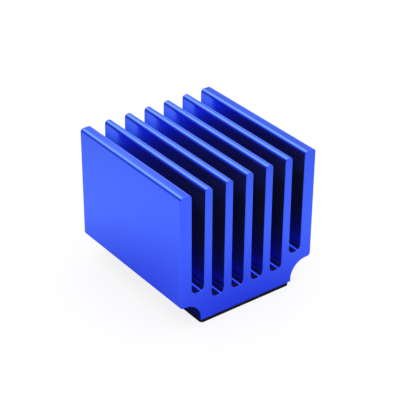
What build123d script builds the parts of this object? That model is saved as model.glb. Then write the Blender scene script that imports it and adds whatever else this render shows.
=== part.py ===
# Finned heat sink for a small power chip. It is one length of extruded aluminium with upright fins, and it
# has a thin adhesive pad under its base.
# Millimetres. +X runs across the fins, +Y along the extrusion and +Z up. The origin is the centre of the
# pad's underside, which is the face that lies on the chip.

from build123d import *
import os

# Overall sizes of the aluminium
sink_width = 14.2
sink_length = 14.7
sink_height = 12.75

# Fins, measured at their tips: a thicker one at each side and thinner ones between. The slots share out
# the width that the fins leave, and each slot wall leans in by slot_draft on its way down to the floor.
inner_fin_count = 5
inner_fin_thickness = 0.74
outer_fin_thickness = 1.16
fin_tip_radius = 0.32
slot_draft = 0.04
slot_floor_radius = 0.5

# Metal left under the slots. The outermost slots are shallower, because the notches lie below them.
inner_floor_thickness = 1.9
outer_floor_thickness = 3.0

# Base, narrower than the fins. A concave notch along each lower corner clears the pins beside the chip. It is
# a quarter round as large as the notch allows, with a short flat between it and the edge radius at each end.
base_width = 9.9
notch_height = 1.95
notch_flat = 0.2
ledge_edge_radius = 0.3
base_edge_radius = 0.1

# The sawn ends have their edges just broken.
end_chamfer = 0.05

# Adhesive pad, cut a little smaller than the base
pad_thickness = 0.4
pad_margin = 0.1
pad_corner_radius = 0.3

base_underside = pad_thickness
fin_tops = base_underside + sink_height
notch_width = (sink_width - base_width) / 2
notch_radius = min(notch_width - ledge_edge_radius, notch_height - base_edge_radius) - notch_flat
slot_count = inner_fin_count + 1
fins_thickness = 2 * outer_fin_thickness + inner_fin_count * inner_fin_thickness
slot_mouth = (sink_width - fins_thickness) / slot_count
slot_root = slot_mouth - 2 * slot_draft
slot_pitch = slot_mouth + inner_fin_thickness
outer_slot_spacing = slot_pitch * (slot_count - 1)


def slot_profile(depth):
    # One slot seen from the end, with its origin in the middle of the mouth, level with the fin tips.
    # The floor's two corners meet as a full round where the slot is too narrow for their radius.
    with BuildSketch() as slot:
        with BuildLine():
            Polyline(
                (-slot_mouth / 2, 0),
                (-slot_root / 2, -depth),
                (slot_root / 2, -depth),
                (slot_mouth / 2, 0),
                close=True,
            )
        make_face()
        fillet(slot.vertices().group_by(Axis.Y)[0], min(slot_floor_radius, 0.49 * slot_root))
    return slot.sketch


inner_slot = slot_profile(sink_height - inner_floor_thickness)
outer_slot = slot_profile(sink_height - outer_floor_thickness)

# Heat sink: the extrusion's section on the XZ plane, drawn out to both sides of the middle
with BuildPart() as heat_sink:
    with BuildSketch(Plane.XZ) as section:
        with Locations((0, base_underside)):
            Rectangle(sink_width, sink_height, align=(Align.CENTER, Align.MIN))

        # Notches: a square cut at each lower corner, a large radius in its inner corner and small ones on
        # its two edges
        with Locations((-sink_width / 2, base_underside), (sink_width / 2, base_underside)):
            Rectangle(2 * notch_width, 2 * notch_height, mode=Mode.SUBTRACT)
        ledge_corners = section.vertices().group_by(Axis.Y)[1].sort_by(Axis.X)
        fillet(ledge_corners[1:3], notch_radius)
        ledge_corners = section.vertices().group_by(Axis.Y)[-2].sort_by(Axis.X)
        fillet([ledge_corners[0], ledge_corners[-1]], ledge_edge_radius)
        fillet(section.vertices().group_by(Axis.Y)[0], base_edge_radius)

        # Slots, then the rounded edges of the fin tips that they leave
        with Locations((0, fin_tops)):
            with GridLocations(slot_pitch, 0, slot_count - 2, 1):
                add(inner_slot, mode=Mode.SUBTRACT)
            with GridLocations(outer_slot_spacing, 0, 2, 1):
                add(outer_slot, mode=Mode.SUBTRACT)
        fillet(section.vertices().group_by(Axis.Y)[-1], min(fin_tip_radius, 0.49 * inner_fin_thickness))
    extrude(amount=sink_length / 2, both=True)
    chamfer(heat_sink.faces().filter_by(Axis.Y).edges(), end_chamfer)

# Thermal pad: its top face lies against the base's underside
with BuildPart() as thermal_pad:
    with BuildSketch():
        RectangleRounded(base_width - 2 * pad_margin, sink_length - 2 * pad_margin, pad_corner_radius)
    extrude(amount=pad_thickness)

os.makedirs("parts", exist_ok=True)
heat_sink.part.label = "heat_sink"
export_step(heat_sink.part, "parts/heat_sink.step")
thermal_pad.part.label = "thermal_pad"
export_step(thermal_pad.part, "parts/thermal_pad.step")
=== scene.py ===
# A small heat sink: one length of finned aluminium extrusion, blue anodised, with a black adhesive pad under
# its base. It stands on a pale studio floor, and everything is in metres in the packed model's own frame.
import math

import bmesh
import bpy
from mathutils import Matrix, Vector


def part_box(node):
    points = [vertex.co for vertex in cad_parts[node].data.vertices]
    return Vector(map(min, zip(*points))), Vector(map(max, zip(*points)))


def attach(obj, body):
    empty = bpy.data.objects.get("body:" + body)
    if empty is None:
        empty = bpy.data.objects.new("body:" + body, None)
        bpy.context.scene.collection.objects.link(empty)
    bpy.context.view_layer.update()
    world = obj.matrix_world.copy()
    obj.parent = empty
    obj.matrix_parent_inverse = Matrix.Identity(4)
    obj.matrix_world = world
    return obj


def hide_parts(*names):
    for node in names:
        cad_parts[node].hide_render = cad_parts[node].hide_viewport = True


bl_info = {
    "name": "Finned Heat Sink",
    "version": (1, 0, 0),
    "blender": (4, 5, 0),
    "location": "View3D > Sidebar > Heat Sink",
    "description": "Builds a blue anodised finned heat sink with its adhesive pad, and a studio stage",
    "category": "Add Mesh",
}

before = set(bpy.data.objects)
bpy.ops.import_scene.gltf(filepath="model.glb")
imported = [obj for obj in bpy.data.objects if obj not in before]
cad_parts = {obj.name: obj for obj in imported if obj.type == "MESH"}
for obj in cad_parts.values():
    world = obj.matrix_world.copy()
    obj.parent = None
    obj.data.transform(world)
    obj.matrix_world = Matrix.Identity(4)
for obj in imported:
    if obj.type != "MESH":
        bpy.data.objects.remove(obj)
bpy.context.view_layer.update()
SINK_LOW, SINK_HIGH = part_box("heat_sink")
PAD_LOW, PAD_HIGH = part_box("thermal_pad")
MM = 0.001
WHITE = (1.0, 1.0, 1.0, 1.0)

# The corners of the section are numbered: four for each slot, then eight round the outside
SLOT_CORNERS = 4
OUTSIDE_CORNERS = 8
ROUNDING_STEPS = 16
PATH_POINTS = 4

# Nearly all values of a noise texture lie between these
NOISE_LOW = 0.3
NOISE_HIGH = 0.7


def linear(hex_colour):
    """Turns an sRGB hex colour into linear red, green and blue."""
    parts = [int(hex_colour[i : i + 2], 16) / 255 for i in (1, 3, 5)]
    return [p / 12.92 if p <= 0.04045 else ((p + 0.055) / 1.055) ** 2.4 for p in parts]


def length(name, description, default):
    """A length in metres for a property group."""
    return bpy.props.FloatProperty(
        name=name,
        description=description,
        default=default,
        min=0.0,
        precision=5,
        subtype="DISTANCE",
        unit="LENGTH",
    )


def angle(name, description, degrees):
    """An angle for a property group, written in degrees."""
    return bpy.props.FloatProperty(
        name=name,
        description=description,
        default=math.radians(degrees),
        subtype="ANGLE",
        unit="ROTATION",
    )


def share(name, description, default, top=1.0):
    """A plain number for a property group."""
    return bpy.props.FloatProperty(name=name, description=description, default=default, min=0.0, max=top)


def colour(name, description, hex_colour):
    """A colour for a property group, written in sRGB hex and kept linear."""
    return bpy.props.FloatVectorProperty(
        name=name,
        description=description,
        default=linear(hex_colour),
        min=0.0,
        max=1.0,
        size=3,
        subtype="COLOR",
    )


class ExtrusionSizes(bpy.types.PropertyGroup):
    """Sizes of the finned extrusion."""

    width: length("Width", "Across the fins", SINK_HIGH.x - SINK_LOW.x)
    length: length("Length", "Along the fins", SINK_HIGH.y - SINK_LOW.y)
    height: length("Height", "From the base's underside to the fin tips", SINK_HIGH.z - SINK_LOW.z)
    level: length("Level", "Height of the base's underside above the pad's", SINK_LOW.z)
    slots: bpy.props.IntProperty(name="Slots", description="Slots between the fins", default=6, min=3)
    inner_fin: length("Inner fin", "Thickness of an inner fin at its tip", 0.74 * MM)
    outer_fin: length("Outer fin", "Thickness of the fin at each side at its tip", 1.16 * MM)
    slot_draft: length("Slot draft", "How far each slot wall leans in on its way down", 0.04 * MM)
    inner_floor: length("Inner floor", "Metal under the inner slots", 1.9 * MM)
    outer_floor: length("Outer floor", "Metal under the two outermost slots", 3.0 * MM)
    floor_radius: length("Floor radius", "Rounding at both sides of a slot's floor", 0.5 * MM)
    tip_radius: length("Tip radius", "Rounding of the fin tips", 0.32 * MM)
    base_width: length("Base width", "Across the base, between the notches", 9.9 * MM)
    notch_height: length("Notch height", "Height of the notch along each lower corner", 1.95 * MM)
    notch_radius: length("Notch radius", "Hollow inside the notch", 1.65 * MM)
    ledge_radius: length("Ledge radius", "Rounding of the outer fins' lower edge", 0.3 * MM)
    base_radius: length("Base radius", "Rounding of the base's lower edges", 0.1 * MM)
    end_ring: length("End ring", "From each end to the ring that keeps the shading straight", 0.12 * MM)
    end_break: length("End break", "Edge break round both sawn ends", 0.05 * MM)


class PadSizes(bpy.types.PropertyGroup):
    """Sizes of the adhesive pad, besides those of its box."""

    corner_radius: length("Corner radius", "Rounded corners in plan", 0.3 * MM)
    edge_radius: length("Edge radius", "Softened edge of both faces", 0.02 * MM)


class Finish(bpy.types.PropertyGroup):
    """Colours and gloss of both materials."""

    dye: colour("Dye", "Blue of the anodised aluminium", "#345bff")
    dye_edge: colour("Dye at the edge", "The same blue where it is seen at a flat angle", "#dcf4ff")
    slot_edge: colour("Dye at the edge in a slot", "Slot wall that is seen at a flat angle", "#a0b4f4")
    seal: share("Seal", "Share of the clear seal on the film", 0.2)
    slot_seal: share("Seal in a slot", "Share of the clear seal inside the slots", 0.05)
    haze: share("Haze", "Share of white light that the oxide film scatters", 0.013)
    haze_tint: colour("Haze tint", "Colour of the light that the film scatters", "#e7edff")
    # Painted shade deep in a slot, and painted bounce light near its floor, both scaling the dye's
    # brightness
    slot_painted_shade: share("Slot dye", "How much of the dye's brightness is left deep in a slot", 0.39)
    floor_painted_bounce: share("Floor dye", "How much of it comes back near the slot floor", 0.24)
    # Painted shade along the mouth of each slot
    painted_mouth_shade: share("Mouth line", "How much of it is left along the mouth of a slot", 0.62)
    # Painted shade in the hollow of each notch: how far it goes, and its near black colour
    notch_painted_shade: share("Notch dark", "How far the hollow of a notch goes to black", 0.9)
    hollow: colour("Hollow", "Near black in the hollow of a notch", "#0d1027")
    roughness: share("Roughness", "How satin the anodised surface is", 0.16)
    wall_roughness: share("Wall roughness", "How satin the slot walls are", 0.3)
    pad: colour("Pad", "Black of the silicone pad", "#08080a")


class Studio(bpy.types.PropertyGroup):
    """Camera and light round the heat sink."""

    azimuth: angle("Azimuth", "Camera's direction round the heat sink, from the front", -36.958)
    elevation: angle("Elevation", "Camera's height angle", 31.007)
    roll: angle("Roll", "Camera's turn about its own line of sight", 0.40)
    distance: length("Distance", "From the middle of the fin tips to the camera", 119.065 * MM)
    aside: length("Aside", "Camera's step to its right", 0.285 * MM)
    down: length("Down", "Camera's step down", 5.277 * MM)
    lens: bpy.props.FloatProperty(name="Lens", description="Focal length", default=125.25, unit="CAMERA")
    paper: colour("Paper", "White of the floor", "#ededed")
    floor_seen: share("Floor seen", "Plain white in the floor that the camera sees", 0.85)
    floor_mirrored: share("Floor mirrored", "Plain light in the floor that the metal mirrors", 0.68)
    # The floor's glow for mirrored rays carries a painted shade near the heat sink and a painted darkening
    # farther off
    shade: colour("Shade", "Floor beside the heat sink, as the metal mirrors it", "#555dd6")
    shade_start: length("Shade start", "Where the shade is full, from the middle", 8 * MM)
    shade_end: length("Shade end", "Where the shade is gone, from the middle", 18 * MM)
    edge_start: length("Edge start", "Where the floor begins to darken, from the middle", 24 * MM)
    edge_end: length("Edge end", "Where the floor has darkened, from the middle", 34 * MM)
    edge_left: share("Edge left", "What is left there of the floor's light", 0.78)
    world: share("World", "Strength of the surrounding light", 1.75, top=10.0)
    horizon: share("Horizon", "Share of that strength low down", 0.37)
    overhead: share("Overhead", "Share of that strength overhead", 1.3, top=10.0)
    dim_side: colour("Dim side", "Surroundings low on the left, which are dimmer and bluer", "#5478dc")
    low_light: share("Low light", "Strength of the soft light low behind on the right", 0.85, top=10.0)
    lamp: share("Lamp", "Radiance of the soft lamp high behind", 2.25, top=100.0)
    lamp_colour: colour("Lamp colour", "Faintly pink white of that lamp", "#fff0ff")
    lamp_width: length("Lamp width", "Across that lamp", 165 * MM)
    lamp_height: length("Lamp height", "Up that lamp", 70 * MM)
    lamp_distance: length("Lamp distance", "From the heat sink to that lamp", 170 * MM)
    lamp_elevation: angle("Lamp elevation", "Height angle of that lamp", 49)


def fill(tree, node, inputs):
    """Links or sets a node's inputs, by name or number. A node given here means its first output."""
    for key, value in inputs.items():
        if isinstance(value, bpy.types.Node):
            value = value.outputs[0]
        if isinstance(value, bpy.types.NodeSocket):
            tree.links.new(value, node.inputs[key])
        else:
            node.inputs[key].default_value = value


def add_node(tree, kind, inputs=None, **settings):
    """Adds a node, sets its properties and fills its inputs."""
    node = tree.nodes.new(kind)
    for name, value in settings.items():
        setattr(node, name, value)
    fill(tree, node, inputs or {})
    return node


def extrusion_tree(names):
    """The rule of the extrusion: its section is drawn out along Y, and marked for the finish."""
    tree = bpy.data.node_groups.new("finned_extrusion", "GeometryNodeTree")
    tree.is_modifier = True
    for name in names:
        kind = "NodeSocketInt" if name == "slots" else "NodeSocketFloat"
        socket = tree.interface.new_socket(name, in_out="INPUT", socket_type=kind)
        if kind == "NodeSocketFloat":
            socket.subtype = "DISTANCE"
    tree.interface.new_socket("material", in_out="INPUT", socket_type="NodeSocketMaterial")
    tree.interface.new_socket("Geometry", in_out="OUTPUT", socket_type="NodeSocketGeometry")
    given = add_node(tree, "NodeGroupInput").outputs
    body = add_node(
        tree,
        "GeometryNodeCurveToMesh",
        {"Curve": path_along(tree, given), "Profile Curve": section(tree, given), "Fill Caps": True},
    )
    for name, domain, value in finish_marks(tree, given):
        body = add_node(
            tree,
            "GeometryNodeStoreNamedAttribute",
            {"Geometry": body, "Name": name, "Value": value},
            data_type="FLOAT",
            domain=domain,
        )
    smooth = add_node(tree, "GeometryNodeSetShadeSmooth", {0: body, "Shade Smooth": True})
    real = add_node(tree, "GeometryNodeRealizeInstances", {0: smooth})
    done = add_node(tree, "GeometryNodeSetMaterial", {"Geometry": real, "Material": given["material"]})
    add_node(tree, "NodeGroupOutput", {0: done})
    return tree


def section(tree, given):
    """The closed outline of the section: the place and rounding of each corner follow from its number.

    The first corners are four for each slot, from left to right. Eight more go round the outside: four down
    the right half, from the outer tip to the base, and the same four up the left half.
    """
    index = add_node(tree, "GeometryNodeInputIndex")

    # The slots share out the width that the fins leave
    inner_fins = add_node(tree, "ShaderNodeMath", {0: given["slots"], 1: 1.0}, operation="SUBTRACT")
    inner_metal = add_node(
        tree, "ShaderNodeMath", {0: inner_fins, 1: given["inner_fin"]}, operation="MULTIPLY"
    )
    metal = add_node(
        tree, "ShaderNodeMath", {0: given["outer_fin"], 1: 2.0, 2: inner_metal}, operation="MULTIPLY_ADD"
    )
    room = add_node(tree, "ShaderNodeMath", {0: given["width"], 1: metal}, operation="SUBTRACT")
    mouth = add_node(tree, "ShaderNodeMath", {0: room, 1: given["slots"]}, operation="DIVIDE")
    drafts = add_node(tree, "ShaderNodeMath", {0: given["slot_draft"], 1: 2.0}, operation="MULTIPLY")
    root = add_node(tree, "ShaderNodeMath", {0: mouth, 1: drafts}, operation="SUBTRACT")
    pitch = add_node(tree, "ShaderNodeMath", {0: mouth, 1: given["inner_fin"]}, operation="ADD")

    # Corners of the slots: which slot, which side of it, and mouth or floor. Counted from a slot's middle,
    # the outer two are at its mouth and the inner two at its floor.
    turns = add_node(tree, "ShaderNodeMath", {0: index, 1: SLOT_CORNERS}, operation="DIVIDE")
    slot = add_node(tree, "ShaderNodeMath", {0: turns}, operation="FLOOR")
    corner = add_node(tree, "ShaderNodeMath", {0: index, 1: SLOT_CORNERS}, operation="MODULO")
    side = add_node(tree, "ShaderNodeMath", {0: corner, 1: (SLOT_CORNERS - 1) / 2}, operation="SUBTRACT")
    off_centre = add_node(tree, "ShaderNodeMath", {0: side}, operation="ABSOLUTE")
    at_floor = add_node(tree, "ShaderNodeMath", {0: off_centre, 1: 1.0}, operation="LESS_THAN")
    middle = add_node(tree, "ShaderNodeMath", {0: inner_fins, 1: 2.0}, operation="DIVIDE")
    from_middle = add_node(tree, "ShaderNodeMath", {0: slot, 1: middle}, operation="SUBTRACT")
    slots_off = add_node(tree, "ShaderNodeMath", {0: from_middle}, operation="ABSOLUTE")
    same = 0.1
    outermost = add_node(tree, "ShaderNodeMath", {0: slots_off, 1: middle, 2: same}, operation="COMPARE")
    slot_width = add_node(tree, "ShaderNodeMix", {0: at_floor, 2: mouth, 3: root})
    half_slot = add_node(tree, "ShaderNodeMath", {0: slot_width, 1: 0.5}, operation="MULTIPLY")
    hand = add_node(tree, "ShaderNodeMath", {0: side}, operation="SIGN")
    aside = add_node(tree, "ShaderNodeMath", {0: half_slot, 1: hand}, operation="MULTIPLY")
    slot_x = add_node(
        tree, "ShaderNodeMath", {0: from_middle, 1: pitch, 2: aside}, operation="MULTIPLY_ADD"
    )
    floor = add_node(tree, "ShaderNodeMix", {0: outermost, 2: given["inner_floor"], 3: given["outer_floor"]})
    slot_z = add_node(tree, "ShaderNodeMix", {0: at_floor, 2: given["height"], 3: floor})
    slot_round = add_node(
        tree, "ShaderNodeMix", {0: at_floor, 2: given["tip_radius"], 3: given["floor_radius"]}
    )

    # Corners of the outside, counted up from the base on each half: the same four widths, heights and radii
    slot_corners = add_node(
        tree, "ShaderNodeMath", {0: given["slots"], 1: SLOT_CORNERS}, operation="MULTIPLY"
    )
    number = add_node(tree, "ShaderNodeMath", {0: index, 1: slot_corners}, operation="SUBTRACT")
    along = add_node(
        tree, "ShaderNodeMath", {0: (OUTSIDE_CORNERS - 1) / 2, 1: number}, operation="SUBTRACT"
    )
    off_base = add_node(tree, "ShaderNodeMath", {0: along}, operation="ABSOLUTE")
    step = add_node(tree, "ShaderNodeMath", {0: off_base}, operation="FLOOR")
    outside_rows = (
        (given["base_width"], given["base_width"], given["width"], given["width"]),
        (0.0, given["notch_height"], given["notch_height"], given["height"]),
        (given["base_radius"], given["notch_radius"], given["ledge_radius"], given["tip_radius"]),
    )
    picked = []
    for row in outside_rows:
        # A new switch has room for two values, and each item makes room for one more
        switch = add_node(tree, "GeometryNodeIndexSwitch", data_type="FLOAT")
        for _ in row[2:]:
            switch.index_switch_items.new()
        fill(tree, switch, dict(enumerate((step, *row))))
        picked.append(switch)
    outside_width, outside_z, outside_round = picked
    half_outside = add_node(tree, "ShaderNodeMath", {0: outside_width, 1: 0.5}, operation="MULTIPLY")
    outside_hand = add_node(tree, "ShaderNodeMath", {0: along}, operation="SIGN")
    outside_x = add_node(
        tree, "ShaderNodeMath", {0: half_outside, 1: outside_hand}, operation="MULTIPLY"
    )

    # One closed line through every corner, each rounded by its own radius. The section is drawn upside down,
    # because the sweep along Y turns it over.
    last_in_slot = add_node(tree, "ShaderNodeMath", {0: slot_corners, 1: 0.5}, operation="SUBTRACT")
    outside = add_node(tree, "ShaderNodeMath", {0: index, 1: last_in_slot}, operation="GREATER_THAN")
    x = add_node(tree, "ShaderNodeMix", {0: outside, 2: slot_x, 3: outside_x})
    z = add_node(tree, "ShaderNodeMix", {0: outside, 2: slot_z, 3: outside_z})
    turned_z = add_node(tree, "ShaderNodeMath", {0: z, 1: -1.0}, operation="MULTIPLY")
    place = add_node(tree, "ShaderNodeCombineXYZ", {0: x, 1: turned_z})
    count = add_node(tree, "ShaderNodeMath", {0: slot_corners, 1: OUTSIDE_CORNERS}, operation="ADD")
    points = add_node(tree, "GeometryNodePoints", {"Count": count, "Position": place})
    line = add_node(tree, "GeometryNodePointsToCurves", {0: points})
    closed = add_node(tree, "GeometryNodeSetSplineCyclic", {0: line, "Cyclic": True})
    radius = add_node(tree, "ShaderNodeMix", {0: outside, 2: slot_round, 3: outside_round})
    return add_node(
        tree,
        "GeometryNodeFilletCurve",
        {"Curve": closed, "Count": ROUNDING_STEPS, "Radius": radius, "Limit Radius": True},
        mode="POLY",
    )


def path_along(tree, given):
    """The straight path along Y that the section follows.

    It has a point close to each end, so that the broken edge there doesn't turn the shading of the long
    roundings.
    """
    index = add_node(tree, "GeometryNodeInputIndex")
    half_length = add_node(tree, "ShaderNodeMath", {0: given["length"], 1: 0.5}, operation="MULTIPLY")
    ring = add_node(tree, "ShaderNodeMath", {0: half_length, 1: given["end_ring"]}, operation="SUBTRACT")
    station = add_node(tree, "ShaderNodeMath", {0: index, 1: (PATH_POINTS - 1) / 2}, operation="SUBTRACT")
    off_middle = add_node(tree, "ShaderNodeMath", {0: station}, operation="ABSOLUTE")
    inward = add_node(tree, "ShaderNodeMath", {0: off_middle, 1: 1.0}, operation="LESS_THAN")
    reach = add_node(tree, "ShaderNodeMix", {0: inward, 2: half_length, 3: ring})
    end = add_node(tree, "ShaderNodeMath", {0: station}, operation="SIGN")
    y = add_node(tree, "ShaderNodeMath", {0: reach, 1: end}, operation="MULTIPLY")
    place = add_node(tree, "ShaderNodeCombineXYZ", {1: y, 2: given["level"]})
    points = add_node(tree, "GeometryNodePoints", {"Count": PATH_POINTS, "Position": place})
    return add_node(tree, "GeometryNodePointsToCurves", {0: points})


def finish_marks(tree, given):
    """The marks that the finish reads, each with its name, its domain and its value.

    sawn is 1 on both ends. slot_depth is the share of the height that a point in a slot lies under the fin
    tips, and 0 outside the slots. notch is 1 in the hollow of a notch.
    """
    # A face belongs to an end where its normal lies at least this much along Y. The margins, which multiply
    # the sizes that they are named for, see to it that faces right at a limit are counted.
    end_facing = 0.9
    floor_margin = 0.9
    base_margin = 0.499
    notch_margin = 1.01

    normal = add_node(tree, "ShaderNodeSeparateXYZ", {0: add_node(tree, "GeometryNodeInputNormal")})
    normal_y = add_node(tree, "ShaderNodeMath", {0: normal.outputs[1]}, operation="ABSOLUTE")
    sawn = add_node(tree, "ShaderNodeMath", {0: normal_y, 1: end_facing}, operation="GREATER_THAN")

    spot = add_node(tree, "ShaderNodeSeparateXYZ", {0: add_node(tree, "GeometryNodeInputPosition")})
    z = spot.outputs[2]
    off_middle = add_node(tree, "ShaderNodeMath", {0: spot.outputs[0]}, operation="ABSOLUTE")
    half_width = add_node(tree, "ShaderNodeMath", {0: given["width"], 1: 0.5}, operation="MULTIPLY")
    half_fin = add_node(tree, "ShaderNodeMath", {0: given["outer_fin"], 1: 0.5}, operation="MULTIPLY")
    fin_middle = add_node(tree, "ShaderNodeMath", {0: half_width, 1: half_fin}, operation="SUBTRACT")
    between = add_node(tree, "ShaderNodeMath", {0: off_middle, 1: fin_middle}, operation="LESS_THAN")
    base_top = add_node(
        tree,
        "ShaderNodeMath",
        {0: given["inner_floor"], 1: floor_margin, 2: given["level"]},
        operation="MULTIPLY_ADD",
    )
    above_base = add_node(tree, "ShaderNodeMath", {0: z, 1: base_top}, operation="GREATER_THAN")
    within = add_node(tree, "ShaderNodeMath", {0: between, 1: above_base}, operation="MULTIPLY")
    tips = add_node(tree, "ShaderNodeMath", {0: given["height"], 1: given["level"]}, operation="ADD")
    under_tips = add_node(tree, "ShaderNodeMath", {0: tips, 1: z}, operation="SUBTRACT")
    depth = add_node(tree, "ShaderNodeMath", {0: under_tips, 1: given["height"]}, operation="DIVIDE")
    slot_depth = add_node(tree, "ShaderNodeMath", {0: within, 1: depth}, operation="MULTIPLY")

    base_side = add_node(
        tree, "ShaderNodeMath", {0: given["base_width"], 1: base_margin}, operation="MULTIPLY"
    )
    beside = add_node(tree, "ShaderNodeMath", {0: off_middle, 1: base_side}, operation="GREATER_THAN")
    above_level = add_node(tree, "ShaderNodeMath", {0: z, 1: given["level"]}, operation="SUBTRACT")
    notch_top = add_node(
        tree, "ShaderNodeMath", {0: given["notch_height"], 1: notch_margin}, operation="MULTIPLY"
    )
    low = add_node(tree, "ShaderNodeMath", {0: above_level, 1: notch_top}, operation="LESS_THAN")
    notch = add_node(tree, "ShaderNodeMath", {0: beside, 1: low}, operation="MULTIPLY")
    return (("sawn", "FACE", sawn), ("slot_depth", "POINT", slot_depth), ("notch", "POINT", notch))


def link(thing):
    """Puts an object in the scene."""
    bpy.context.scene.collection.objects.link(thing)
    return thing


def plain_copy(source, name):
    """A plain mesh object of what the source's modifiers make. The source is deleted."""
    depsgraph = bpy.context.evaluated_depsgraph_get()
    mesh = bpy.data.meshes.new_from_object(
        source.evaluated_get(depsgraph), preserve_all_data_layers=True, depsgraph=depsgraph
    )
    if not mesh.polygons:
        raise RuntimeError(f"The modifiers of {name} made no faces")
    mesh.name = name
    bpy.data.objects.remove(source)
    return link(bpy.data.objects.new(name, mesh))


def new_material(name):
    """A material with an empty node tree."""
    material = bpy.data.materials.new(name)
    material.use_nodes = True
    material.node_tree.nodes.clear()
    return material, material.node_tree


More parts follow.
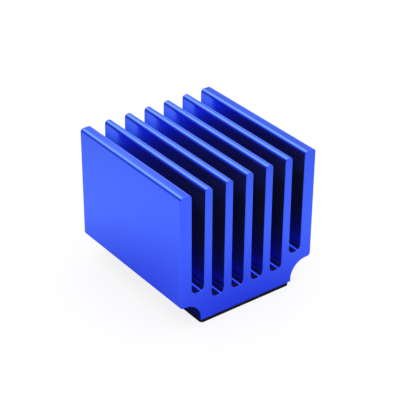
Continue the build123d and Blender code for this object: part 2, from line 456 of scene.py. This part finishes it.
def anodised_aluminium(finish):
    """Extruded aluminium, caustic etched, dyed and sealed: satin, coloured reflections.

    It has a fine etched grain all over, faint die lines along the extrusion and faint saw lines across both
    ends. Painted shade darkens the film inside the slots, with painted bounce light near the slot floors and
    a painted dark line along each slot's mouth, and paints the hollow of each notch nearly black.
    """
    material, tree = new_material("blue_anodised_aluminium")
    coordinates = add_node(tree, "ShaderNodeTexCoord").outputs["Object"]
    sawn = add_node(tree, "ShaderNodeAttribute", attribute_name="sawn").outputs["Fac"]
    notch = add_node(tree, "ShaderNodeAttribute", attribute_name="notch").outputs["Fac"]
    marked_depth = add_node(tree, "ShaderNodeAttribute", attribute_name="slot_depth").outputs["Fac"]

    # The sawn ends have the edges of the slots and notches on them, and aren't in a slot or notch themselves
    not_sawn = add_node(tree, "ShaderNodeMath", {0: 1.0, 1: sawn}, operation="SUBTRACT")
    slot_depth = add_node(tree, "ShaderNodeMath", {0: marked_depth, 1: not_sawn}, operation="MULTIPLY")
    lines = tool_lines(tree, coordinates, sawn)

    # The etch is a little uneven over a few millimetres, in its gloss and in how much dye it took
    patch_size = 5 * MM
    patches = add_node(
        tree, "ShaderNodeTexNoise", {"Vector": coordinates, "Scale": 1 / patch_size, "Detail": 2.0}
    )
    darker = 0.93
    thick_dye = [c * darker for c in finish.dye]
    even_dye = add_node(
        tree,
        "ShaderNodeMix",
        {"Factor": patches, 6: (*thick_dye, 1.0), 7: (*finish.dye, 1.0)},
        data_type="RGBA",
    ).outputs[2]
    uneven = 0.03
    wear = add_node(tree, "ShaderNodeMix", {0: 0.5, 2: patches, 3: lines})
    open_gloss = add_node(
        tree,
        "ShaderNodeMapRange",
        {
            "Value": wear,
            "From Min": NOISE_LOW,
            "From Max": NOISE_HIGH,
            "To Min": finish.roughness - uneven,
            "To Max": finish.roughness + uneven,
        },
    )

    # Painted shade: deeper in a slot the dye is darkened, standing in for the shade there, and near the slot
    # floor painted bounce light brightens it again. All depths are shares of the height of the extrusion.
    shade_from, shade_to = 0.06, 0.2
    bounce_from, bounce_to = 0.3, 0.7
    left = add_node(
        tree,
        "ShaderNodeMapRange",
        {
            "Value": slot_depth,
            "From Min": shade_from,
            "From Max": shade_to,
            "To Min": 1.0,
            "To Max": finish.slot_painted_shade,
        },
    )
    back = add_node(
        tree,
        "ShaderNodeMapRange",
        {
            "Value": slot_depth,
            "From Min": bounce_from,
            "From Max": bounce_to,
            "To Min": 0.0,
            "To Max": finish.floor_painted_bounce,
        },
    )
    brightness = add_node(tree, "ShaderNodeMath", {0: left, 1: back}, operation="ADD")

    # Painted shade: a darker line is painted along each slot's mouth, just under the rounding of the tips,
    # where it runs out into the wall
    line_depth = 0.016
    line_full, line_gone = 0.002, 0.013
    off_line = add_node(tree, "ShaderNodeMath", {0: slot_depth, 1: line_depth}, operation="SUBTRACT")
    off_line = add_node(tree, "ShaderNodeMath", {0: off_line}, operation="ABSOLUTE")
    painted_mouth_shade = add_node(
        tree,
        "ShaderNodeMapRange",
        {
            "Value": off_line,
            "From Min": line_full,
            "From Max": line_gone,
            "To Min": finish.painted_mouth_shade,
            "To Max": 1.0,
        },
    )
    brightness = add_node(tree, "ShaderNodeMath", {0: brightness, 1: painted_mouth_shade}, operation="MULTIPLY")
    # The dye is scaled by the painted slot shade, the painted bounce light and the painted line along the
    # mouth
    dye = add_node(tree, "ShaderNodeVectorMath", {0: even_dye, 3: brightness}, operation="SCALE")

    # Inside the slots the clear seal is cut down, and the tint at a flat angle is a darker blue, so the slot
    # walls give back less light
    inside_from, inside_to = 0.02, 0.12
    inside = add_node(
        tree, "ShaderNodeMapRange", {"Value": slot_depth, "From Min": inside_from, "From Max": inside_to}
    )
    seal = add_node(
        tree, "ShaderNodeMapRange", {"Value": inside, "To Min": finish.seal, "To Max": finish.slot_seal}
    )
    # The painted shade along the mouth dims the clear seal too
    seal = add_node(tree, "ShaderNodeMath", {0: seal, 1: painted_mouth_shade}, operation="MULTIPLY")
    edge = add_node(
        tree,
        "ShaderNodeMix",
        {"Factor": inside, 6: (*finish.dye_edge, 1.0), 7: (*finish.slot_edge, 1.0)},
        data_type="RGBA",
    ).outputs[2]

    # The die wears along the flanks of the fins, so that the slot walls are more satin than the slot floors.
    # A wall is where the normal lies nearly along X.
    flank_from, flank_to = 0.95, 0.99
    normal = add_node(tree, "ShaderNodeNewGeometry").outputs["Normal"]
    normal_x = add_node(tree, "ShaderNodeSeparateXYZ", {0: normal})
    facing_side = add_node(tree, "ShaderNodeMath", {0: normal_x}, operation="ABSOLUTE")
    flank = add_node(
        tree, "ShaderNodeMapRange", {"Value": facing_side, "From Min": flank_from, "From Max": flank_to}
    )
    wall = add_node(tree, "ShaderNodeMath", {0: flank, 1: inside}, operation="MULTIPLY")
    gloss = add_node(tree, "ShaderNodeMix", {0: wall, 2: open_gloss, 3: finish.wall_roughness})
    shader = add_node(
        tree,
        "ShaderNodeBsdfPrincipled",
        {
            "Base Color": dye,
            "Metallic": 1.0,
            "Roughness": gloss,
            "Specular Tint": edge,
            "Normal": etched_relief(tree, coordinates, lines, slot_depth),
            "Coat Weight": seal,
            "Coat Roughness": 0.16,
            "Coat IOR": 1.5,
        },
    )
    haze = add_node(tree, "ShaderNodeBsdfDiffuse", {"Color": (*finish.haze_tint, 1.0)})
    film = add_node(tree, "ShaderNodeMixShader", {0: finish.haze, 1: shader, 2: haze})

    # Painted shade: the hollow of each notch is painted nearly black, standing in for the shade under the
    # ledge
    hollow = add_node(tree, "ShaderNodeMath", {0: notch, 1: not_sawn}, operation="MULTIPLY")
    notch_shade_share = add_node(tree, "ShaderNodeMath", {0: hollow, 1: finish.notch_painted_shade}, operation="MULTIPLY")
    dark = add_node(tree, "ShaderNodeBsdfDiffuse", {"Color": (*finish.hollow, 1.0)})
    whole = add_node(tree, "ShaderNodeMixShader", {0: notch_shade_share, 1: film, 2: dark})
    add_node(tree, "ShaderNodeOutputMaterial", {0: whole})
    return material


def tool_lines(tree, coordinates, sawn):
    """Faint lines that the tools left: along the extrusion from the die, and up both ends from the saw.

    Both are noise that is drawn out along the lines, which have a real spacing along X, Y and Z.
    """
    die_spacing = (0.2 * MM, 14 * MM, 0.2 * MM)
    saw_spacing = (0.15 * MM, 0.15 * MM, 9 * MM)
    kinds = []
    for spacing in (die_spacing, saw_spacing):
        scale = [1 / size for size in spacing]
        drawn_out = add_node(tree, "ShaderNodeMapping", {"Vector": coordinates, "Scale": scale})
        noise = {"Vector": drawn_out, "Scale": 1.0, "Detail": 2.0}
        kinds.append(add_node(tree, "ShaderNodeTexNoise", noise))
    return add_node(tree, "ShaderNodeMix", {0: sawn, 2: kinds[0], 3: kinds[1]})


def etched_relief(tree, coordinates, lines, slot_depth):
    """The bump of the metal: the tool lines and the etched grain, which are fainter inside the slots."""
    # Etched grain, about 0.03 mm in the real surface and drawn at 0.12 mm so that it shows
    grain_size = 0.12 * MM
    grain = add_node(
        tree,
        "ShaderNodeTexNoise",
        {"Vector": coordinates, "Scale": 1 / grain_size, "Detail": 3.0, "Roughness": 0.6},
    )
    relief = add_node(tree, "ShaderNodeMix", {0: 0.5, 2: lines, 3: grain})
    fade_from, fade_to = 0.05, 0.3
    relief_open, relief_deep = 0.2, 0.05
    strength = add_node(
        tree,
        "ShaderNodeMapRange",
        {
            "Value": slot_depth,
            "From Min": fade_from,
            "From Max": fade_to,
            "To Min": relief_open,
            "To Max": relief_deep,
        },
    )
    return add_node(
        tree, "ShaderNodeBump", {"Height": relief, "Strength": strength, "Distance": 0.01 * MM}
    )


def silicone_pad(finish):
    """Filled silicone sheet, calendered and die cut: matt black with a fine, slightly chalky grain."""
    material, tree = new_material("black_silicone")
    coordinates = add_node(tree, "ShaderNodeTexCoord").outputs["Object"]

    # Filler grain, about 0.05 mm in the real sheet and drawn at 0.15 mm so that it shows
    grain_size = 0.15 * MM
    grain = add_node(
        tree,
        "ShaderNodeTexNoise",
        {"Vector": coordinates, "Scale": 1 / grain_size, "Detail": 4.0, "Roughness": 0.65},
    )
    bump = add_node(tree, "ShaderNodeBump", {"Height": grain, "Strength": 0.5, "Distance": 0.02 * MM})
    paler = 1.9
    chalky = [c * paler for c in finish.pad]
    tone = add_node(
        tree,
        "ShaderNodeMix",
        {"Factor": grain, 6: (*finish.pad, 1.0), 7: (*chalky, 1.0)},
        data_type="RGBA",
    ).outputs[2]
    smooth_rubber, rough_rubber = 0.75, 0.9
    matt = add_node(
        tree,
        "ShaderNodeMapRange",
        {
            "Value": grain,
            "From Min": NOISE_LOW,
            "From Max": NOISE_HIGH,
            "To Min": smooth_rubber,
            "To Max": rough_rubber,
        },
    )
    shader = add_node(
        tree,
        "ShaderNodeBsdfPrincipled",
        {"Base Color": tone, "Roughness": matt, "IOR": 1.41, "Specular IOR Level": 0.35, "Normal": bump},
    )
    add_node(tree, "ShaderNodeOutputMaterial", {0: shader})
    return material


class HEAT_SINK_OT_make_extrusion(bpy.types.Operator):
    """Build the finned aluminium extrusion and its anodised finish"""

    bl_idname = "heat_sink.make_extrusion"
    bl_label = "Finned Extrusion"

    def execute(self, context):
        given = context.scene.heat_sink_extrusion
        # The edge break isn't an input of the tree, because a Bevel modifier makes it afterwards
        names = [name for name in ExtrusionSizes.__annotations__ if name != "end_break"]
        values = {name: getattr(given, name) for name in names}
        tree = extrusion_tree(names)
        blank = link(bpy.data.objects.new("blank", bpy.data.meshes.new("blank")))
        modifier = blank.modifiers.new("extrusion", "NODES")
        modifier.node_group = tree
        values["material"] = anodised_aluminium(context.scene.heat_sink_finish)
        for socket in tree.interface.items_tree:
            if socket.in_out == "INPUT":
                modifier[socket.identifier] = values[socket.name]
        bevel = blank.modifiers.new("end_break", "BEVEL")
        bevel.width = given.end_break
        bevel.segments = 3
        bevel.limit_method = "ANGLE"
        bevel.angle_limit = math.radians(60)
        bevel.harden_normals = False
        weighted = blank.modifiers.new("flat_faces", "WEIGHTED_NORMAL")
        weighted.weight = 100
        weighted.keep_sharp = False
        sink = plain_copy(blank, "finned_extrusion")
        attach(sink, "root")
        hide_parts("heat_sink")
        return {"FINISHED"}


class HEAT_SINK_OT_make_pad(bpy.types.Operator):
    """Build the adhesive pad under the base"""

    bl_idname = "heat_sink.make_pad"
    bl_label = "Adhesive Pad"

    def execute(self, context):
        mesh = rounded_sheet("adhesive_pad", context.scene.heat_sink_pad)
        mesh.materials.append(silicone_pad(context.scene.heat_sink_finish))
        pad = link(bpy.data.objects.new("adhesive_pad", mesh))
        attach(pad, "root")
        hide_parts("thermal_pad")
        return {"FINISHED"}


def rounded_sheet(name, sizes):
    """A flat sheet that fills the pad's box, with rounded corners and softened edges.

    It is built from level rings, from the lower face up, and each lies inside the outline by its inset.
    """
    corner_steps, edge_steps = 8, 6
    quarter_turn = math.pi / 2
    half = (PAD_HIGH - PAD_LOW) / 2
    slopes = [quarter_turn * n / edge_steps for n in range(edge_steps + 1)]
    levels = [
        (sizes.edge_radius * (1 - math.sin(a)), PAD_LOW.z + sizes.edge_radius * (1 - math.cos(a)))
        for a in slopes
    ]
    levels += [(inset, PAD_HIGH.z - (z - PAD_LOW.z)) for inset, z in reversed(levels)]
    form = bmesh.new()
    rings = []
    for inset, z in levels:
        ring = []
        radius = sizes.corner_radius - inset
        for quarter, (side_x, side_y) in enumerate(((1, 1), (-1, 1), (-1, -1), (1, -1))):
            for n in range(corner_steps + 1):
                a = quarter_turn * (quarter + n / corner_steps)
                x = side_x * (half.x - sizes.corner_radius) + radius * math.cos(a)
                y = side_y * (half.y - sizes.corner_radius) + radius * math.sin(a)
                ring.append(form.verts.new((x, y, z)))
        rings.append(ring)
    for lower, upper in zip(rings, rings[1:]):
        for n in range(len(lower)):
            m = (n + 1) % len(lower)
            form.faces.new((lower[n], lower[m], upper[m], upper[n]))
    form.faces.new(list(reversed(rings[0])))
    form.faces.new(rings[-1])
    for face in form.faces:
        face.smooth = len(face.verts) == 4
    mesh = bpy.data.meshes.new(name)
    form.to_mesh(mesh)
    form.free()
    return mesh


class HEAT_SINK_OT_set_stage(bpy.types.Operator):
    """Set the floor, the soft light and the camera"""

    bl_idname = "heat_sink.set_stage"
    bl_label = "Studio Stage"

    def execute(self, context):
        studio = context.scene.heat_sink_studio
        paper_floor(studio)
        soft_surroundings(studio)
        back_lamp(studio)
        photo_camera(studio)
        context.scene.view_settings.view_transform = "Standard"
        return {"FINISHED"}


def paper_floor(studio):
    """A pale matt floor that keeps the shadow, and reads as white where nothing shades it.

    In the metal's mirror it glows with painted light: a painted blue shade beside the heat sink, which
    stands in for its shadow and the blue light that the metal throws on it, and a painted darkening farther
    off.
    """
    half_side = 0.6
    mesh = bpy.data.meshes.new("floor")
    corners = [(x * half_side, y * half_side, 0) for x, y in ((-1, -1), (1, -1), (1, 1), (-1, 1))]
    mesh.from_pydata(corners, [], [(0, 1, 2, 3)])
    material, tree = new_material("white_paper")
    matt = add_node(tree, "ShaderNodeBsdfDiffuse", {"Color": (*studio.paper, 1.0)})
    path = add_node(tree, "ShaderNodeLightPath").outputs
    camera = path["Is Camera Ray"]
    seen = add_node(tree, "ShaderNodeMath", {0: camera, 1: studio.floor_seen}, operation="MULTIPLY")
    mirrored = add_node(
        tree,
        "ShaderNodeMath",
        {0: path["Is Glossy Ray"], 1: path["Is Transmission Ray"]},
        operation="MAXIMUM",
    )
    glowing = add_node(
        tree, "ShaderNodeMath", {0: mirrored, 1: studio.floor_mirrored, 2: seen}, operation="MULTIPLY_ADD"
    )
    # Painted shade for mirrored rays: the glow takes the shade colour close to the heat sink and is dimmed
    # farther off, while the camera sees it white
    place = add_node(tree, "ShaderNodeTexCoord").outputs["Object"]
    off_middle = add_node(tree, "ShaderNodeVectorMath", {0: place}, operation="LENGTH").outputs["Value"]
    away = add_node(
        tree,
        "ShaderNodeMapRange",
        {"Value": off_middle, "From Min": studio.shade_start, "From Max": studio.shade_end},
    )
    unshaded = add_node(tree, "ShaderNodeMath", {0: away, 1: camera}, operation="MAXIMUM")
    tone = add_node(
        tree,
        "ShaderNodeMix",
        {"Factor": unshaded, 6: (*studio.shade, 1.0), 7: WHITE},
        data_type="RGBA",
    ).outputs[2]
    edge = add_node(
        tree,
        "ShaderNodeMapRange",
        {
            "Value": off_middle,
            "From Min": studio.edge_start,
            "From Max": studio.edge_end,
            "To Min": 1.0,
            "To Max": studio.edge_left,
        },
    )
    strength = add_node(tree, "ShaderNodeMix", {0: camera, 2: edge, 3: 1.0})
    glow = add_node(tree, "ShaderNodeEmission", {"Color": tone, "Strength": strength})
    both = add_node(tree, "ShaderNodeMixShader", {0: glowing, 1: matt, 2: glow})
    add_node(tree, "ShaderNodeOutputMaterial", {0: both})
    mesh.materials.append(material)
    link(bpy.data.objects.new("floor", mesh))


def soft_surroundings(studio):
    """A world that is plain white to the camera.

    The object is lit by a sky that is dimmer at the horizon than overhead, dimmer and bluer low on the left,
    and has one soft light low behind on the right.
    """
    world = bpy.data.worlds.new("studio")
    bpy.context.scene.world = world
    world.use_nodes = True
    tree = world.node_tree
    tree.nodes.clear()
    toward = add_node(tree, "ShaderNodeTexCoord").outputs["Generated"]
    direction = add_node(tree, "ShaderNodeSeparateXYZ", {0: toward}).outputs

    # How high a direction points, from 0 at the horizon to 1 overhead
    sky_from, sky_to = 0.45, 0.95
    level = add_node(
        tree,
        "ShaderNodeMapRange",
        {
            "Value": direction[2],
            "From Min": sky_from,
            "From Max": sky_to,
            "To Min": studio.horizon,
            "To Max": studio.overhead,
        },
    )

    # The dim side fades out towards the middle, and upwards
    left_full, left_gone = -0.6, 0.0
    fade_up = 0.9
    side = add_node(
        tree, "ShaderNodeMapRange", {"Value": direction[0], "From Min": left_full, "From Max": left_gone}
    )
    bright = add_node(
        tree,
        "ShaderNodeMath",
        {0: direction[2], 1: fade_up, 2: side},
        operation="MULTIPLY_ADD",
        use_clamp=True,
    )
    tone = add_node(
        tree,
        "ShaderNodeMix",
        {"Factor": bright, 6: (*studio.dim_side, 1.0), 7: WHITE},
        data_type="RGBA",
    ).outputs[2]

    # The low light is full where a direction lies close to its own, and gone farther off
    low_light_way = (0.715, 0.68, 0.13)
    low_gone, low_full = 0.93, 0.985
    near_low = add_node(
        tree, "ShaderNodeVectorMath", {0: toward, 1: low_light_way}, operation="DOT_PRODUCT"
    ).outputs["Value"]
    low = add_node(
        tree,
        "ShaderNodeMapRange",
        {"Value": near_low, "From Min": low_gone, "From Max": low_full, "To Max": studio.low_light},
    )
    strength = add_node(
        tree, "ShaderNodeMath", {0: level, 1: studio.world, 2: low}, operation="MULTIPLY_ADD"
    )

    camera = add_node(tree, "ShaderNodeLightPath").outputs["Is Camera Ray"]
    shown = add_node(tree, "ShaderNodeMix", {0: camera, 2: strength, 3: 1.0})
    seen = add_node(
        tree, "ShaderNodeMix", {"Factor": camera, 6: tone, 7: WHITE}, data_type="RGBA"
    ).outputs[2]
    sky = add_node(tree, "ShaderNodeBackground", {"Color": seen, "Strength": shown})
    add_node(tree, "ShaderNodeOutputWorld", {0: sky})


def back_lamp(studio):
    """A wide soft lamp high behind the heat sink, which brightens the rounded edges of the fin tips."""
    lamp = bpy.data.lights.new("back_softbox", "AREA")
    lamp.shape = "RECTANGLE"
    lamp.size = studio.lamp_width
    lamp.size_y = studio.lamp_height
    lamp.energy = studio.lamp * math.pi * studio.lamp_width * studio.lamp_height
    lamp.color = studio.lamp_colour
    away = Vector((0, math.cos(studio.lamp_elevation), math.sin(studio.lamp_elevation)))
    thing = link(bpy.data.objects.new("back_softbox", lamp))
    thing.visible_diffuse = False
    turn = away.to_track_quat("Z", "Y").to_matrix()
    thing.matrix_world = Matrix.Translation(away * studio.lamp_distance) @ turn.to_4x4()


def photo_camera(studio):
    """The camera at the photo's angle, measured from the middle of the fin tips."""
    a, e, roll = studio.azimuth, studio.elevation, studio.roll
    back = Vector((math.sin(a) * math.cos(e), -math.cos(a) * math.cos(e), math.sin(e)))
    right = Vector((math.cos(a), math.sin(a), 0))
    up = back.cross(right)
    turned_right = right * math.cos(roll) + up * math.sin(roll)
    turned_up = up * math.cos(roll) - right * math.sin(roll)
    tips = Vector((0, 0, SINK_HIGH.z))
    place = tips + back * studio.distance + turned_right * studio.aside - turned_up * studio.down
    camera = link(bpy.data.objects.new("camera", bpy.data.cameras.new("camera")))
    camera.data.lens = studio.lens
    camera.data.clip_start = 1 * MM
    turn = Matrix((turned_right, turned_up, back)).transposed()
    camera.matrix_world = Matrix.Translation(place) @ turn.to_4x4()
    bpy.context.scene.camera = camera


class HEAT_SINK_PT_sidebar(bpy.types.Panel):
    """Sizes, colours and build steps of the heat sink"""

    bl_idname = "HEAT_SINK_PT_sidebar"
    bl_label = "Finned Heat Sink"
    bl_space_type = "VIEW_3D"
    bl_region_type = "UI"
    bl_category = "Heat Sink"

    def draw(self, context):
        for name, group in GROUPS.items():
            box = self.layout.box()
            box.label(text=group.__doc__)
            for field in group.__annotations__:
                box.prop(getattr(context.scene, name), field)
        for step in STEPS:
            self.layout.operator(step.bl_idname)


GROUPS = {
    "heat_sink_extrusion": ExtrusionSizes,
    "heat_sink_pad": PadSizes,
    "heat_sink_finish": Finish,
    "heat_sink_studio": Studio,
}
STEPS = (HEAT_SINK_OT_make_extrusion, HEAT_SINK_OT_make_pad, HEAT_SINK_OT_set_stage)


def register():
    for name, group in GROUPS.items():
        bpy.utils.register_class(group)
        setattr(bpy.types.Scene, name, bpy.props.PointerProperty(type=group))
    for kind in (*STEPS, HEAT_SINK_PT_sidebar):
        bpy.utils.register_class(kind)


def unregister():
    for kind in (HEAT_SINK_PT_sidebar, *reversed(STEPS)):
        bpy.utils.unregister_class(kind)
    for name, group in GROUPS.items():
        delattr(bpy.types.Scene, name)
        bpy.utils.unregister_class(group)


def main():
    register()
    bpy.ops.heat_sink.make_extrusion()
    bpy.ops.heat_sink.make_pad()
    bpy.ops.heat_sink.set_stage()


if __name__ == "__main__":
    main()
